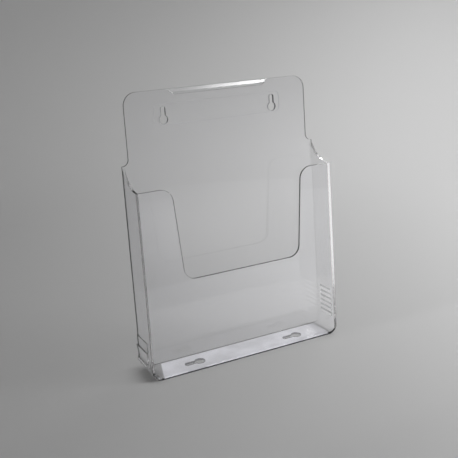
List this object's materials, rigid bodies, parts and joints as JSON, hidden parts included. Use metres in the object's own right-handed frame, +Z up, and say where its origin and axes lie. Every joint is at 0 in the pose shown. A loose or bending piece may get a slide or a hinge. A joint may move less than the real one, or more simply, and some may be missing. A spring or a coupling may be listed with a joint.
{
  "type": "wall magazine rack",
  "caption": "Clear single-pocket magazine rack: tall back plate with keyholes, front panel with a deep finger gap, hollow-curved side rims.",
  "frame": {"origin": "on the surface the rack stands on, below the middle of its width and depth", "axes": "+X to the right seen from the front, +Y towards the wall, +Z up"},
  "size_m": [0.2391, 0.0414, 0.303],
  "materials": {
    "clear_plastic": "clear, gloss"
  },
  "bodies": {
    "root": {"back_panel": "clear_plastic", "front_panel": "clear_plastic", "left_side_wall": "clear_plastic", "right_side_wall": "clear_plastic", "base_panel": "clear_plastic", "hanger_strip": "clear_plastic", "top_grip": "clear_plastic", "left_link_clip": "clear_plastic", "right_link_rail": "clear_plastic"}
  },
  "joints": []
}
